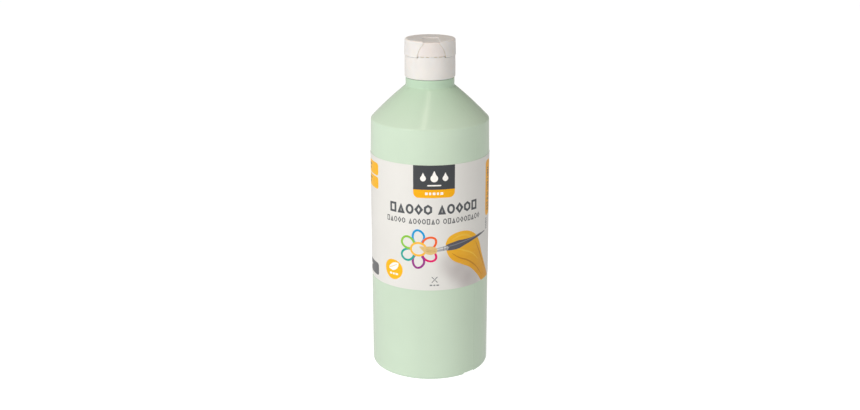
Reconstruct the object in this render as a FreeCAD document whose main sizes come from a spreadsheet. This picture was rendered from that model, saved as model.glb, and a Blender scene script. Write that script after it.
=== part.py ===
"""Squeeze bottle of poster paint with a screw-on flip-top cap.

Millimetres, +Z up. The origin is the middle of the foot, on the surface it stands on.
The label's middle and the lid's hinge face -Y.
"""

import FreeCAD, Part
import Sketcher
import math
import os
import re

DIMENSIONS = (
    # Bottle: a blow-moulded cylinder with a conical shoulder.
    ("body_radius", 33.9, "outside of the cylindrical wall"),
    ("wall", 1.0, "thickness of the side wall"),
    ("base_thick", 2.2, "thickness of the base"),
    ("base_round", 1.6, "rounding of the outer edge of the base"),
    ("foot_inner_radius", 25, "inner edge of the ring that the bottle stands on"),
    ("push_up", 3, "rise of the underside at its middle"),
    ("taper_low", 128, "height where the wall starts to draw in"),
    ("shoulder_radius", 33.55, "outside of the wall at the shoulder edge"),
    ("shoulder_height", 147.4, "height of the shoulder edge"),
    ("shoulder_round", 1.2, "rounding of the shoulder edge"),
    ("shoulder_drop", 0.41, "how far the wall's inner corner lies below the shoulder edge"),
    ("cone_crown", 215, "radius of the slight outward bulge of the cone"),
    ("cone_run", 1.03, "width lost for each unit of rise inside the lowest part of the cone"),
    ("collar_radius", 13.77, "plain collar between the cone and the cap"),
    ("collar_wall", 1.4, "thickness of the collar"),
    ("collar_foot", 166.1, "height where the cone meets the collar"),
    ("collar_fillet", 0.8, "rounding in the corner between the cone and the collar"),
    ("collar_drop", 0.3, "how far the collar's inner corner lies below the outer one"),
    ("collar_top", 170.63, "top of the collar"),
    ("collar_round", 0.3, "rounding of the collar's top edge"),
    ("neck_radius", 11.6, "threaded neck, measured at the root of its thread"),
    ("neck_top", 180.5, "rim of the neck"),
    ("neck_round", 0.35, "rounding of both edges of the neck's rim"),
    ("bore_radius", 9.9, "inside of the neck"),
    ("bore_low", 171.5, "lower end of the neck's straight bore"),
    ("bore_funnel", 2, "height of the funnel below the straight bore"),
    ("notch_width", 11, "index notch in the foot, along the edge"),
    ("notch_height", 1.4, "index notch, upwards"),
    ("notch_depth", 4.5, "index notch, inwards from the wall"),
    ("notch_angle", 39, "index notch, degrees from the front towards +X"),
    # Thread shared by the neck and the cap: right hand, single start.
    ("thread_pitch", 3.2, "rise in one turn"),
    ("thread_turns", 1.3, "length of each ridge in turns"),
    ("thread_depth", 1.0, "height of a ridge above its wall"),
    ("thread_root", 1.5, "width of a ridge at its wall"),
    ("thread_crest", 0.7, "width of a ridge at its crest"),
    ("thread_embed", 0.1, "how far a ridge reaches into its wall"),
    ("neck_thread_start", 174.0, "middle of the neck's ridge where it begins"),
    # Contents and label.
    ("fill_gap", 0.05, "space left between the paint and the wall"),
    ("paint_level", 150.5, "surface of 500 ml of paint"),
    ("label_low", 55.2, "lower edge of the wrap label"),
    ("label_high", 128, "upper edge of the wrap label"),
    ("label_thick", 0.12, "thickness of the label"),
    # Sealing washer between the neck's rim and the cap's deck.
    ("washer_radius", 12.3, "outside of the washer"),
    ("washer_hole", 8.5, "hole in the washer"),
    ("washer_thick", 1.0, "thickness of the washer"),
    # Cap base.
    ("skirt_low", 170.75, "lower edge of the cap"),
    ("skirt_radius", 14.27, "outside of the cap"),
    ("skirt_inner", 12.85, "inside of the cap, at the root of its thread"),
    ("skirt_round", 0.9, "rounding of the cap's lower edge"),
    ("waist_low", 179, "height where the cap draws in under the lid"),
    ("waist_radius", 14.12, "outside of the cap right under the lid"),
    ("deck_low", 181.55, "underside of the deck"),
    ("deck_high", 182.7, "top of the deck"),
    ("ledge_high", 183.0, "ledge under the edge of the lid"),
    ("snap_outer", 13.05, "outside of the snap ring inside the lid"),
    ("snap_inner", 12.3, "inside of the snap ring"),
    ("snap_high", 184.4, "top of the snap ring"),
    ("snap_round", 0.3, "rounding of the snap ring's top edges"),
    ("spout_radius", 4.2, "outside of the spout"),
    ("orifice_radius", 3.0, "hole in the spout"),
    ("spout_high", 185.0, "rim of the spout"),
    ("spout_round", 0.4, "rounding of the spout's rim"),
    ("spout_fillet", 0.5, "rounding in the corner between the spout and the deck"),
    ("thumb_width", 12, "thumb recess opposite the hinge"),
    ("thumb_height", 2.4, "thumb recess, downwards from the ledge"),
    ("thumb_depth", 0.9, "thumb recess, inwards from the wall"),
    # Flip lid.
    ("lid_low", 183.15, "lower edge of the lid"),
    ("lid_high", 192.3, "top of the lid"),
    ("lid_radius_low", 14.5, "outside of the lid at its lower edge"),
    ("lid_radius_high", 14.22, "outside of the lid at its top"),
    ("lid_wall", 1.12, "thickness of the lid's wall"),
    ("lid_round", 0.9, "rounding of the lid's top edge"),
    ("lid_bevel", 0.2, "bevel of the lid's lower edge"),
    ("plate_low", 190.9, "underside of the lid's top plate"),
    ("plug_radius", 2.94, "sealing plug that closes the spout"),
    ("plug_bore", 1.8, "hollow of the plug"),
    ("plug_low", 184.1, "tip of the plug"),
    ("plug_taper", 0.2, "radius lost from the spout's rim to the plug's tip"),
    # Hinge strap: a bell-shaped tongue in the lid's front wall that joins a sunk panel on its top.
    ("strap_half_low", 7.7, "half width of the strap at its foot"),
    ("strap_half_high", 4.5, "half width of the strap at its root"),
    ("strap_flank", 11.5, "radius of the strap's curved sides"),
    ("strap_low", 183.95, "foot of the strap"),
    ("flank_low", 183.35, "height where the strap's sides start to curve"),
    ("strap_high", 190.6, "height where the strap's sides become straight"),
    ("strap_back", 12.0, "distance from the lid's middle to where the strap joins the top plate"),
    ("strap_sink", 0.2, "how far the strap lies below the lid's wall"),
    ("strap_thick", 0.8, "thickness of the strap"),
    ("strap_sweep", 90, "degrees of the lid's wall that the strap is trimmed from"),
    ("strap_round", 0.5, "rounding where the strap bends over onto the panel"),
    ("strap_joint", 0.05, "how far below the top plate the strap's root is trimmed"),
    ("slot", 0.2, "gap down each side of the strap"),
    ("panel_sink", 0.5, "depth of the sunk panel"),
    ("panel_back", 2.3, "rear end of the sunk panel, behind the lid's middle"),
    ("panel_round", 1.1, "rounding of the panel's rear corners"),
    ("edge_break", 0.1, "rounding of the edges round the strap and the panel"),
    # Film hinge: thin lands with windows between them, on a raised pad of the cap base.
    ("pad_high", 183.6, "top of the pad that carries the hinge"),
    ("pad_half", 7.5, "half width of the pad"),
    ("film_outer", 14.0, "outside of the film hinge"),
    ("film_thick", 0.3, "thickness of the film hinge"),
    ("film_half", 6.7, "half width of the whole film hinge"),
    # Construction.
    ("past", 1, "how far a cutting outline reaches past the material that it cuts"),
)

# Windows in the film hinge on one side of its middle, as (inner, outer) distances along X.
FILM_WINDOWS = ((1.45, 3.05), (4.05, 6.25))

ALIASES = {alias for alias, _, _ in DIMENSIONS}

doc = FreeCAD.newDocument("paint_bottle")
sheet = doc.addObject("Spreadsheet::Sheet", "Dimensions")
for row, (alias, size, meaning) in enumerate(DIMENSIONS, start=1):
    sheet.set(f"A{row}", alias)
    sheet.set(f"B{row}", str(size))
    sheet.setAlias(f"B{row}", alias)
    sheet.set(f"C{row}", meaning)
doc.recompute()


def bound(expression):
    """The expression with each alias written as a cell of the sheet."""

    def cell(word):
        name = word.group(0)
        return f"Dimensions.{name}" if name in ALIASES else name

    return re.sub(r"[a-z][a-z_]*", cell, str(expression))


def number(expression):
    """What the expression is worth now."""
    worth = sheet.evalExpression(bound(expression))
    return float(getattr(worth, "Value", worth))


def bind(thing, **sizes):
    """Drive properties of a feature from the sheet."""
    for name, expression in sizes.items():
        thing.setExpression(name.replace("__", "."), bound(expression))


def new_body(label):
    body = doc.addObject("PartDesign::Body", label)
    body.Label = label
    return body


def new_sketch(body, name, role):
    """An empty sketch on one of the body's own origin planes."""
    plane = next(item for item in body.Origin.OriginFeatures if item.Role == role)
    sketch = body.newObject("Sketcher::SketchObject", name)
    sketch.AttachmentSupport = (plane, [""])
    sketch.MapMode = "FlatFace"
    return sketch


def arc_between(start, end, radius):
    """The short arc from start to end: counter-clockwise, or clockwise if radius < 0."""
    if radius < 0:
        start, end = end, start
    chord = end - start
    left = FreeCAD.Vector(-chord.y, chord.x, 0) * (1 / chord.Length)
    centre = (start + end) * 0.5 + left * math.sqrt(radius**2 - (chord.Length / 2) ** 2)
    first = math.atan2(start.y - centre.y, start.x - centre.x)
    last = math.atan2(end.y - centre.y, end.x - centre.x)
    if last < first:
        last += 2 * math.pi
    circle = Part.Circle(centre, FreeCAD.Vector(0, 0, 1), abs(radius))
    return Part.ArcOfCircle(circle, first, last)


def add_loop(sketch, corners, arcs=None):
    """Close a loop through the corners, each a pair of expressions, and bind it to the sheet.

    Edge i runs from corner i to the next one. It is straight, or an arc where arcs gives its radius.
    """
    arcs = arcs or {}
    points = [FreeCAD.Vector(number(x), number(y), 0) for x, y in corners]
    ends = []
    for i, start in enumerate(points):
        end = points[(i + 1) % len(points)]
        if i in arcs:
            bend = number(arcs[i])
            edge = sketch.addGeometry(arc_between(start, end, bend))
            forward = bend > 0
            radius = sketch.addConstraint(Sketcher.Constraint("Radius", edge, abs(bend)))
            sketch.setExpression(f"Constraints[{radius}]", bound(f"abs({arcs[i]})"))
        else:
            edge = sketch.addGeometry(Part.LineSegment(start, end))
            forward = True
        ends.append((edge, (1, 2) if forward else (2, 1)))
    for i, (x, y) in enumerate(corners):
        edge, (first, last) = ends[i]
        following, (follow, _) = ends[(i + 1) % len(ends)]
        sketch.addConstraint(Sketcher.Constraint("Coincident", edge, last, following, follow))
        for kind, expression in (("DistanceX", x), ("DistanceY", y)):
            place = Sketcher.Constraint(kind, -1, 1, edge, first, number(expression))
            index = sketch.addConstraint(place)
            sketch.setExpression(f"Constraints[{index}]", bound(expression))


def section(body, name, corners, arcs=None, role="XZ_Plane"):
    sketch = new_sketch(body, name, role)
    add_loop(sketch, corners, arcs)
    doc.recompute()
    return sketch


def revolve(body, name, sketch, angle=360, kind="Revolution"):
    """Turn a section about Z, evenly to both sides of its plane."""
    turned = body.newObject(f"PartDesign::{kind}", name)
    turned.Profile = sketch
    turned.ReferenceAxis = (sketch, ["V_Axis"])
    turned.Midplane = True
    bind(turned, Angle=angle)
    doc.recompute()
    return turned


def pocket(body, name, sketch, length, reverse=False):
    """Cut the sketch's outline out of the body, and make sure that something was cut."""
    before = body.Shape.Volume
    cut = body.newObject("PartDesign::Pocket", name)
    cut.Profile = sketch
    cut.Reversed = reverse
    bind(cut, Length=length)
    doc.recompute()
    if body.Shape.Volume > before - 1e-3:
        raise RuntimeError(f"{name} cuts nothing")
    return cut


def ring_edges(shape, radius, height):
    """Names of the circular edges about Z with this radius at this height."""
    names = []
    for index, edge in enumerate(shape.Edges, start=1):
        box = edge.BoundBox
        level = box.ZLength < 1e-4 and abs(box.ZMin - height) < 1e-3
        if level and isinstance(edge.Curve, Part.Circle) and abs(edge.Curve.Radius - radius) < 1e-3:
            names.append(f"Edge{index}")
    return names


def round_edges(body, name, rings, radius):
    """Round the edges at the given (radius, height) rings."""
    solid = body.Tip
    names = []
    for ring_radius, height in rings:
        found = ring_edges(solid.Shape, number(ring_radius), number(height))
        if not found:
            raise RuntimeError(f"{name} finds no edge at {ring_radius}, {height}")
        names += found
    fillet = body.newObject("PartDesign::Fillet", name)
    fillet.Base = (solid, names)
    bind(fillet, Radius=radius)
    doc.recompute()
    return fillet


def break_edges(body, name, test):
    """Take the sharpness off every edge whose middle passes the test."""
    solid = body.Tip
    names = []
    for index, edge in enumerate(solid.Shape.Edges, start=1):
        if edge.Length > number("edge_break") and test(edge.CenterOfMass):
            names.append(f"Edge{index}")
    fillet = body.newObject("PartDesign::Fillet", name)
    fillet.Base = (solid, names)
    bind(fillet, Radius="edge_break")
    doc.recompute()
    if not names or "Invalid" in fillet.State:
        raise RuntimeError(f"{name} fails on {names}")


def rectangle(half, low, high):
    """Corners of a rectangle that is even about the vertical axis."""
    return ((f"-({half})", low), (half, low), (half, high), (f"-({half})", high))


def add_thread(body, name, wall, outward, start):
    """A helical ridge that stands out of a wall of the given radius."""
    side = "+" if outward else "-"
    back = "-" if outward else "+"
    corners = (
        (f"{wall} {back} thread_embed", f"{start} - thread_root / 2"),
        (f"{wall} {side} thread_depth", f"{start} - thread_crest / 2"),
        (f"{wall} {side} thread_depth", f"{start} + thread_crest / 2"),
        (f"{wall} {back} thread_embed", f"{start} + thread_root / 2"),
    )
    profile = section(body, f"{name}_profile", corners)
    ridge = body.newObject("PartDesign::AdditiveHelix", name)
    ridge.Profile = profile
    ridge.ReferenceAxis = (profile, ["V_Axis"])
    ridge.Mode = "pitch-turns-angle"
    bind(ridge, Pitch="thread_pitch", Turns="thread_turns")
    doc.recompute()


DOME = "(foot_inner_radius^2 + push_up^2) / (2 * push_up)"
INNER_RADIUS = "body_radius - wall"
PANEL_HALF = "(strap_half_high + slot)"
INNER_SHOULDER = ("shoulder_radius - wall", "shoulder_height - shoulder_drop")


def make_bottle_shell():
    body = new_body("bottle_shell")
    corners = (
        ("0", "push_up"),
        ("foot_inner_radius", "0"),
        ("body_radius", "0"),
        ("body_radius", "taper_low"),
        ("shoulder_radius", "shoulder_height"),
        ("collar_radius", "collar_foot"),
        ("collar_radius", "collar_top"),
        ("neck_radius", "collar_top"),
        ("neck_radius", "neck_top"),
        ("bore_radius", "neck_top"),
        ("bore_radius", "bore_low"),
        ("collar_radius - collar_wall", "bore_low - bore_funnel"),
        ("collar_radius - collar_wall", "collar_foot - collar_drop"),
        INNER_SHOULDER,
        (INNER_RADIUS, "taper_low"),
        (INNER_RADIUS, "base_thick"),
        ("foot_inner_radius", "base_thick"),
        ("0", "push_up + base_thick"),
    )
    arcs = {0: f"-({DOME})", 4: "cone_crown", 12: "-cone_crown", 16: DOME}
    revolve(body, "bottle_wall", section(body, "bottle_section", corners, arcs))
    round_edges(body, "base_edge", [("body_radius", "0")], "base_round")
    round_edges(body, "base_corner", [(INNER_RADIUS, "base_thick")], "base_round")
    round_edges(body, "shoulder_edge", [("shoulder_radius", "shoulder_height")], "shoulder_round")
    round_edges(body, "collar_root", [("collar_radius", "collar_foot")], "collar_fillet")
    round_edges(body, "collar_edge", [("collar_radius", "collar_top")], "collar_round")
    rim = [("neck_radius", "neck_top"), ("bore_radius", "neck_top")]
    round_edges(body, "neck_rim", rim, "neck_round")

    notch = new_sketch(body, "notch_outline", "XZ_Plane")
    notch.AttachmentOffset = FreeCAD.Placement(
        FreeCAD.Vector(0, 0, 0), FreeCAD.Rotation(FreeCAD.Vector(0, 1, 0), number("notch_angle"))
    )
    reach = "(body_radius - notch_depth)"
    bind(
        notch,
        AttachmentOffset__Rotation__Angle="notch_angle",
        AttachmentOffset__Base__x=f"{reach} * sin(notch_angle * 1 deg)",
        AttachmentOffset__Base__z=f"{reach} * cos(notch_angle * 1 deg)",
    )
    add_loop(
        notch,
        (
            ("-notch_width / 2", "-past"),
            ("notch_width / 2", "-past"),
            ("notch_width / 2 - notch_height", "notch_height"),
            ("notch_height - notch_width / 2", "notch_height"),
        ),
    )
    doc.recompute()
    pocket(body, "index_notch", notch, "2 * notch_depth", reverse=True)
    add_thread(body, "neck_thread", "neck_radius", True, "neck_thread_start")
    return body


def make_paint():
    body = new_body("paint")
    rise = "(paint_level - shoulder_height + shoulder_drop)"
    corners = (
        ("0", "push_up + base_thick + fill_gap"),
        ("foot_inner_radius", "base_thick + fill_gap"),
        (f"{INNER_RADIUS} - fill_gap", "base_thick + fill_gap"),
        (f"{INNER_RADIUS} - fill_gap", "taper_low"),
        ("shoulder_radius - wall - fill_gap", "shoulder_height - shoulder_drop"),
        (f"shoulder_radius - wall - fill_gap - cone_run * {rise}", "paint_level"),
        ("0", "paint_level"),
    )
    arcs = {0: f"-({DOME})"}
    revolve(body, "paint_fill", section(body, "paint_section", corners, arcs))
    lower = [(f"{INNER_RADIUS} - fill_gap", "base_thick + fill_gap")]
    round_edges(body, "paint_corner", lower, "base_round")
    return body


def make_tube(label, inner, outer, low, high):
    """A plain ring about Z."""
    body = new_body(label)
    corners = ((inner, low), (outer, low), (outer, high), (inner, high))
    revolve(body, f"{label}_ring", section(body, f"{label}_section", corners))
    return body


def make_cap_base():
    body = new_body("cap_base")
    corners = (
        ("skirt_inner", "skirt_low"),
        ("skirt_radius", "skirt_low"),
        ("skirt_radius", "waist_low"),
        ("waist_radius", "ledge_high"),
        ("snap_outer", "ledge_high"),
        ("snap_outer", "snap_high"),
        ("snap_inner", "snap_high"),
        ("snap_inner", "deck_high"),
        ("spout_radius", "deck_high"),
        ("spout_radius", "spout_high"),
        ("orifice_radius", "spout_high"),
        ("orifice_radius", "deck_low"),
        ("skirt_inner", "deck_low"),
    )
    revolve(body, "cap_wall", section(body, "cap_section", corners))
    round_edges(body, "skirt_edge", [("skirt_radius", "skirt_low")], "skirt_round")
    snap = [("snap_outer", "snap_high"), ("snap_inner", "snap_high")]
    round_edges(body, "snap_edges", snap, "snap_round")
    round_edges(body, "spout_edge", [("spout_radius", "spout_high")], "spout_round")
    round_edges(body, "spout_foot", [("spout_radius", "deck_high")], "spout_fillet")
    round_edges(body, "ledge_edge", [("waist_radius", "ledge_high")], "edge_break")

    thumb = new_sketch(body, "thumb_outline", "XZ_Plane")
    bind(thumb, AttachmentOffset__Base__z="-(skirt_radius - thumb_depth)")
    add_loop(
        thumb,
        (
            ("-thumb_width / 2", "ledge_high"),
            ("thumb_width / 2", "ledge_high"),
            ("thumb_width / 2", "ledge_high + past / 10"),
            ("-thumb_width / 2", "ledge_high + past / 10"),
        ),
        {0: "((thumb_width / 2)^2 + thumb_height^2) / (2 * thumb_height)"},
    )
    doc.recompute()
    pocket(body, "thumb_recess", thumb, "2 * thumb_depth")
    corners = (
        ("-waist_radius", "ledge_high - 2 * edge_break"),
        ("-snap_outer", "ledge_high - 2 * edge_break"),
        ("-snap_outer", "pad_high"),
        ("-waist_radius", "pad_high"),
    )
    pad = section(body, "hinge_pad_section", corners, role="YZ_Plane")
    revolve(body, "hinge_pad", pad, "2 * asin(pad_half / waist_radius)")

    start = "(neck_thread_start - thread_pitch / 2)"
    add_thread(body, "cap_thread", "skirt_inner", False, start)
    return body


def bell(gap, low):
    """Corners and arcs of the strap's outline seen from the front, grown by a gap."""
    foot = f"strap_half_low + {gap}"
    root = f"strap_half_high + {gap}"
    corners = (
        (f"-({foot})", low),
        (foot, low),
        (foot, "flank_low"),
        (root, "strap_high"),
        (f"-({root})", "strap_high"),
        (f"-({foot})", "flank_low"),
    )
    return corners, {2: "strap_flank", 4: "strap_flank"}


def make_flip_lid():
    body = new_body("flip_lid")
    corners = (
        ("lid_radius_low - lid_wall", "lid_low"),
        ("lid_radius_low - lid_bevel", "lid_low"),
        ("lid_radius_low", "lid_low + lid_bevel"),
        ("lid_radius_high", "lid_high"),
        ("0", "lid_high"),
        ("0", "plate_low"),
        ("plug_bore", "plate_low"),
        ("plug_bore", "plug_low"),
        ("plug_radius - plug_taper", "plug_low"),
        ("plug_radius", "spout_high"),
        ("plug_radius", "plate_low"),
        ("lid_radius_high - lid_wall", "plate_low"),
    )
    revolve(body, "lid_wall", section(body, "lid_section", corners))
    round_edges(body, "lid_edge", [("lid_radius_high", "lid_high")], "lid_round")
    round_edges(body, "lid_lower_edge", [("lid_radius_low - lid_wall", "lid_low")], "2 * edge_break")
    tip = [("plug_radius - plug_taper", "plug_low"), ("plug_bore", "plug_low")]
    round_edges(body, "plug_edges", tip, "2 * edge_break")

    window = new_sketch(body, "strap_window_outline", "XZ_Plane")
    bind(window, AttachmentOffset__Base__z="lid_radius_low / 2")
    outline, flanks = bell("slot", "lid_low - past")
    add_loop(window, outline, flanks)
    doc.recompute()
    pocket(body, "strap_window", window, "lid_radius_low", reverse=True)

    gate = new_sketch(body, "strap_gate_outline", "XZ_Plane")
    bind(gate, AttachmentOffset__Base__z="strap_back")
    add_loop(gate, rectangle(PANEL_HALF, "strap_high", "lid_high + past"))
    doc.recompute()
    pocket(body, "strap_gate", gate, "lid_radius_low", reverse=True)

    panel = new_sketch(body, "panel_outline", "XY_Plane")
    bind(panel, AttachmentOffset__Base__z="lid_high")
    side = "panel_back - panel_round"
    corner = f"{PANEL_HALF} - panel_round"
    add_loop(
        panel,
        (
            (f"-{PANEL_HALF}", "-lid_radius_low"),
            (PANEL_HALF, "-lid_radius_low"),
            (PANEL_HALF, side),
            (corner, "panel_back"),
            (f"-({corner})", "panel_back"),
            (f"-{PANEL_HALF}", side),
        ),
        {2: "panel_round", 4: "panel_round"},
    )
    doc.recompute()
    pocket(body, "sunk_panel", panel, "panel_sink")
    half = number(PANEL_HALF)
    top = number("lid_high")
    break_edges(body, "panel_edges", lambda at: at.z > top - 1e-3 and abs(at.x) < half + 1e-3)
    return body


def make_hinge_strap():
    body = new_body("hinge_strap")
    outer_low = "(lid_radius_low - strap_sink)"
    outer_high = "(lid_radius_high - strap_sink)"
    floor = "lid_high - panel_sink"
    corners = (
        (f"-{outer_low}", "strap_low"),
        (f"-{outer_low} + strap_thick", "strap_low"),
        (f"-{outer_high} + strap_thick", "plate_low"),
        ("-strap_back / 2", "plate_low"),
        ("-strap_back / 2", floor),
        (f"-{outer_high}", floor),
    )
    wall = section(body, "strap_section", corners, role="YZ_Plane")
    revolve(body, "strap_wall", wall, "strap_sweep")
    round_edges(body, "strap_lip", [(outer_high, floor)], "strap_round")

    trim = new_sketch(body, "strap_outline", "XZ_Plane")
    beyond = "lid_radius_low + past"
    add_loop(trim, rectangle(beyond, "flank_low - past", "lid_high + past"))
    foot, root = "strap_half_low", "strap_half_high"
    tongue = (
        (f"-{foot}", "flank_low - past / 2"),
        (foot, "flank_low - past / 2"),
        (foot, "flank_low"),
        (root, "strap_high"),
        (root, "lid_high + past / 2"),
        (f"-{root}", "lid_high + past / 2"),
        (f"-{root}", "strap_high"),
        (f"-{foot}", "flank_low"),
    )
    add_loop(trim, tongue, {2: "strap_flank", 6: "strap_flank"})
    doc.recompute()
    pocket(body, "strap_sides", trim, "2 * lid_radius_low", reverse=True)

    root_cut = new_sketch(body, "strap_root_outline", "XZ_Plane")
    bind(root_cut, AttachmentOffset__Base__z="strap_back")
    add_loop(root_cut, rectangle(beyond, "plate_low - strap_joint", "lid_high + past"))
    doc.recompute()
    pocket(body, "strap_root", root_cut, "2 * strap_back")
    return body


def make_hinge_film():
    body = new_body("hinge_film")
    corners = (
        ("-film_outer", "pad_high"),
        ("-film_outer + film_thick", "pad_high"),
        ("-film_outer + film_thick", "strap_low"),
        ("-film_outer", "strap_low"),
    )
    strip = section(body, "film_section", corners, role="YZ_Plane")
    revolve(body, "film_strip", strip, "2 * asin(film_half / film_outer)")
    windows = new_sketch(body, "film_windows_outline", "XZ_Plane")
    low, high = "pad_high - past", "strap_low + past"
    for inner, outer in FILM_WINDOWS:
        for near, far in ((inner, outer), (-outer, -inner)):
            add_loop(windows, ((near, low), (far, low), (far, high), (near, high)))
    doc.recompute()
    pocket(body, "film_windows", windows, "2 * film_outer", reverse=True)
    return body


sub_parts = [
    make_bottle_shell(),
    make_paint(),
    make_tube("wrap_label", "body_radius", "body_radius + label_thick", "label_low", "label_high"),
    make_tube("sealing_washer", "washer_hole", "washer_radius", "neck_top", "neck_top + washer_thick"),
    make_cap_base(),
    make_flip_lid(),
    make_hinge_strap(),
    make_hinge_film(),
]
doc.recompute()

for item in doc.Objects:
    if "Invalid" in item.State or "Error" in item.State:
        raise RuntimeError(f"{item.Label} failed: {item.State}")
for body in sub_parts:
    if body.Shape.isNull() or not body.Shape.isValid():
        raise RuntimeError(f"{body.Label} has no valid shape")

os.makedirs("parts", exist_ok=True)
for body in sub_parts:
    body.Shape.exportStep(f"parts/{body.Label}.step")
    print(f"{body.Label}: {len(body.Shape.Solids)} solid(s), {body.Shape.Volume / 1000:.3f} cm3")
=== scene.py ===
"""Looks for the squeeze bottle of poster paint: plastics, printed label, film hinge and studio.

The scene is in metres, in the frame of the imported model. Sizes in millimetres go through MM.
"""

import math
import random

import bpy
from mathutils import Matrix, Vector
from mathutils.bvhtree import BVHTree
from mathutils.geometry import delaunay_2d_cdt


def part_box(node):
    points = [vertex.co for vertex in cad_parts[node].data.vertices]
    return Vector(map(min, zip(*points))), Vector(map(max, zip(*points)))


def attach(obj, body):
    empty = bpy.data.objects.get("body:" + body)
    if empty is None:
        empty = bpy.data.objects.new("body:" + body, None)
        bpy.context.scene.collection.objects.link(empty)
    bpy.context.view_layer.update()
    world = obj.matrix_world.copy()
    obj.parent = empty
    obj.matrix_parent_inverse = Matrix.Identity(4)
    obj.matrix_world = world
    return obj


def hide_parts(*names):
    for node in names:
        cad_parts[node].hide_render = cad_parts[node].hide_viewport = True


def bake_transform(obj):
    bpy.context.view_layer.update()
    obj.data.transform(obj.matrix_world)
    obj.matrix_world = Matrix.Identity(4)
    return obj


MM = 0.001
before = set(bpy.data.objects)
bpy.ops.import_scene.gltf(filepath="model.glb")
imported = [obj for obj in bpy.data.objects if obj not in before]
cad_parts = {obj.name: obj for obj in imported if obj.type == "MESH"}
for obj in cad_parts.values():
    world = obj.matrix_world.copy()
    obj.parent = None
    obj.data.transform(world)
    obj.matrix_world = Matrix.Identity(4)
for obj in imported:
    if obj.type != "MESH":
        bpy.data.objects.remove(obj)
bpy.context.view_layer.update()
scene = bpy.context.scene


# ---------------------------------------------------------------- sizes and colours

# Sizes are millimetres, angles are degrees and colours are 0 to 255 numbers, except in the studio.

label_low_corner, label_high_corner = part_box("wrap_label")
LABEL_RADIUS = label_high_corner.x / MM
LABEL_LOW = label_low_corner.z / MM
LABEL_HIGH = label_high_corner.z / MM

BOTTLE_GREEN = (201, 221, 201)
BOTTLE_WARM = (207, 226, 202)
NECK_GREEN_AND_CAP_SHADE = (187, 213, 189)
CAP_WHITE = (228, 226, 224)
# The strap's white is a little warmer and pinker than the cap's: painted light, for light that comes
# through the thin strap.
STRAP_GLOW_WHITE = (228, 222, 219)
# Tan of the sheets in the gaps beside the strap and behind the hinge windows: painted shade, tinted
# like light through thin plastic.
GAP_SHADE_TAN = (206, 186, 140)
PAINT_GREEN = (176, 216, 180)
PAINT_LIGHT = (204, 234, 204)
FOAM_DARK = (222, 222, 216)
FOAM_LIGHT = (246, 246, 242)

# The bottle's green starts to change at the shoulder and is the neck's darker, deeper green at the
# neck: partly the thicker neck's own deeper green, partly painted shade under the cap.
SHOULDER_HEIGHT = 145
NECK_HEIGHT = 167

# The label's film, its lap at the back, and the grid that lets it bend round the bottle.
FILM_THICK = 0.1
LAP_START = -165.0
LAP = 7.0
LAP_RAMP = 2.5
LAP_LIFT = 1.1 * FILM_THICK
COLUMN = 2.0
ROW = 7.28
MERGE_DISTANCE = 1e-5

LABEL_WHITE = (226, 226, 223)
SHADOW_GREY = (176, 168, 168)
PRINTED_SHADOWS = (
    # along, height, reach, strength
    (11, 70, 12, 0.45),
    (17, 64, 12, 0.5),
    (24, 58, 12, 0.5),
)
SWEEP_HIGH, SWEEP_LOW = 88, 58
SWEEP_UPPER = (242, 182, 36)
SWEEP_LOWER = (224, 158, 34)
SWEEP_STREAK = (246, 196, 84)
INKS = {
    "charcoal": (66, 69, 73),
    "text_grey": (84, 88, 92),
    "box_grey": (104, 106, 109),
    "soft_grey": (128, 131, 134),
    "print_white": (250, 248, 244),
    "amber": (246, 176, 0),
    "light_amber": (248, 186, 14),
    "yolk": (248, 190, 66),
    "vermilion": (240, 98, 40),
    "magenta": (222, 6, 104),
    "purple": (150, 44, 136),
    "blue": (0, 152, 214),
    "teal": (20, 164, 152),
    "green": (136, 198, 62),
    "sweep_light": (242, 194, 66),
    "sweep_dark": (200, 136, 30),
    "bristle": (222, 190, 126),
    "bristle_dark": (178, 140, 80),
    "steel": (168, 170, 174),
    "steel_light": (222, 223, 226),
    "steel_dark": (98, 100, 106),
    "handle": (88, 89, 98),
    "handle_light": (126, 127, 138),
}

# Beads where the mould's halves part: their turn from the front, and the width and height of each.
PARTING_TURN = 45
WALL_BEAD = (0.36, 0.06)
FOOT_BEAD = (0.45, 0.25)
BEAD_LOW, BEAD_HIGH = 4.0, 170.0
BEAD_TO_LABEL = 0.4
BEAD_SUNK = 0.04
BEAD_STEP = 0.5
BEAD_CORNERS = 7
FOOT_REACH = 23.0

# Lands of the film hinge, each from one X to another.
FILM_LANDS = ((-6.7, -6.25), (-4.05, -3.05), (-1.45, 1.45), (3.05, 4.05), (6.25, 6.7))
FILM_DEPTH = 0.3
FILM_ROWS = 6
FILM_COLUMN = 0.3

# Tan sheets of painted shade in the gaps beside the strap, which follow a curve and then rise
# straight.
GAP = 0.2
FLANK_LOW, FLANK_HIGH = 183.35, 190.6
FLANK_TOP = 4.6
FLANK_BEND = 11.6
FLANK_STEPS = 24
STRAIGHT_RISE = 0.7
WALL_DRAFT = 0.28
SHADE_SHEET_DEPTH = 0.34
SHADE_SHEET_THICK = 0.2
SHADE_SHEET_OVERLAP = 0.04

# Tan sheets of painted shade behind the windows of the film hinge.
WINDOW_DEPTH = 0.12
WINDOW_THICK = 0.16
WINDOW_STEPS = 8
WINDOW_TOP_GAP = 0.06


# ---------------------------------------------------------------- node helpers


def srgb(red, green, blue):
    """Linear colour from the usual 0 to 255 numbers."""

    def linear(value):
        share = value / 255
        return share / 12.92 if share <= 0.04045 else ((share + 0.055) / 1.055) ** 2.4

    return (linear(red), linear(green), linear(blue), 1.0)


def shaded(colour, factor):
    """The same colour, lighter or darker."""
    return tuple(min(1.0, part * factor) for part in colour[:3]) + (1.0,)


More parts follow.
